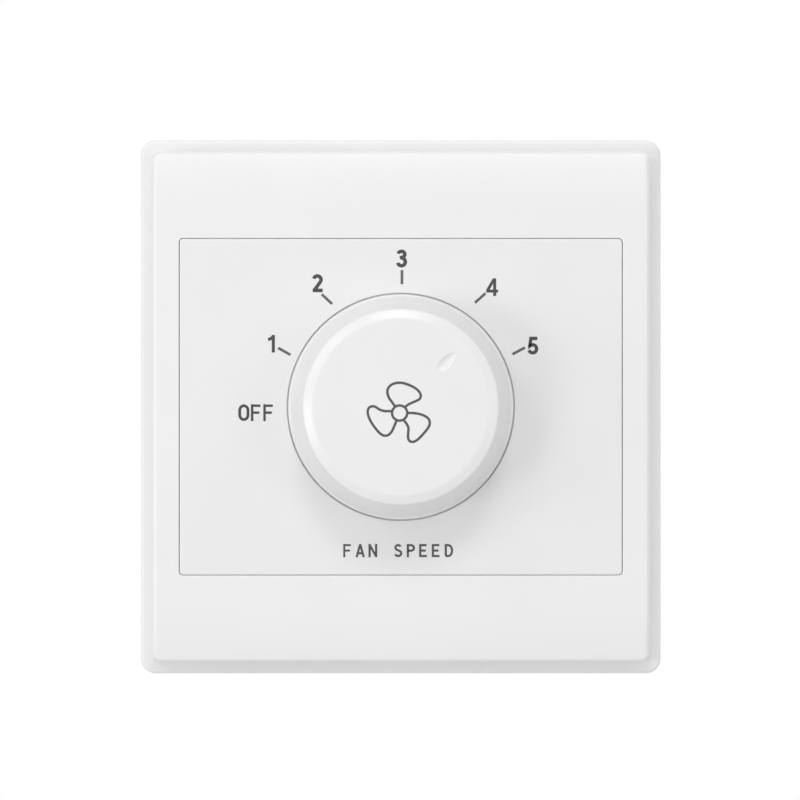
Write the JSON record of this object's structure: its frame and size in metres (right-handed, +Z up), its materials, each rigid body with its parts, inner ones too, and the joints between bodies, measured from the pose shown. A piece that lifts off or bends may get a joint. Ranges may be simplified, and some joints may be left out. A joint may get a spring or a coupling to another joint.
{
  "type": "fan speed control switch",
  "caption": "White wall plate fan speed controller: rotary knob with pointer dimple in a square two-step frame, regulator housing behind",
  "frame": {"origin": "on the knob's axis, in the wall plane that the plate's back rests on", "axes": "+X to the right seen from the front, +Y along the knob's axis into the wall, +Z up"},
  "size_m": [0.086, 0.0505, 0.0882],
  "materials": {
    "plate_plastic": "moulded white polycarbonate, satin gloss",
    "knob_plastic": "moulded white ABS, satin gloss",
    "zinc_plated_sheet": "pressed sheet steel, zinc plated",
    "spring_steel": "bright spring steel",
    "shaft_steel": "turned steel",
    "plated_hardware": "nickel plated",
    "yellow_brass": "turned or cut brass",
    "tinned_brass": "tinned brass",
    "spring_bronze": "spring bronze",
    "black_phenolic": "moulded phenolic",
    "housing_plastic": "moulded flame retardant plastic, fine matt",
    "terminal_plastic": "moulded grey polyamide",
    "board_laminate": "paper laminate with solder resist",
    "carbon_laminate": "laminate with a carbon track",
    "sink_aluminium": "mill finish sheet",
    "black_epoxy": "moulded epoxy",
    "capacitor_box": "moulded case, potted",
    "capacitor_dip": "dipped epoxy",
    "ferrite": "sintered ferrite",
    "enamelled_wire": "enamelled copper wire",
    "fuse_case": "moulded case",
    "resistor_coat": "lacquered",
    "diac_coat": "lacquered glass"
  },
  "bodies": {
    "wall_unit": {"face_frame": "plate_plastic", "insert_panel": "plate_plastic", "mounting_yoke": "zinc_plated_sheet", "threaded_bush": "yellow_brass", "lock_washer": "plated_hardware", "bush_nut": "plated_hardware", "potentiometer_can": "zinc_plated_sheet", "track_board": "carbon_laminate", "track_pins": "tinned_brass", "switch_case": "black_phenolic", "switch_lever": "spring_bronze", "switch_contacts": "tinned_brass", "rear_housing": "housing_plastic", "housing_screws": "plated_hardware", "circuit_board": "board_laminate", "heat_sink": "sink_aluminium", "triac": "black_epoxy", "triac_screw": "plated_hardware", "film_capacitor": "capacitor_box", "timing_capacitor": "capacitor_dip", "choke_core": "ferrite", "choke_winding": "enamelled_wire", "fuse": "fuse_case", "resistors": "resistor_coat", "diac": "diac_coat", "terminal_block": "terminal_plastic", "terminal_clamps": "yellow_brass", "terminal_screws": "plated_hardware"},
    "turning_knob": {"knob": "knob_plastic", "knob_clip": "spring_steel", "control_shaft": "shaft_steel", "retaining_ring": "spring_steel", "rotor": "black_phenolic", "wiper": "spring_bronze", "switch_driver": "black_phenolic"}
  },
  "joints": [
    {"name": "knob_turn", "type": "hinge", "parent": "wall_unit", "child": "turning_knob", "pos_m": [0, 0, 0], "axis": [0, 1, 0], "range_deg": [-135.5, 19.1]}
  ]
}
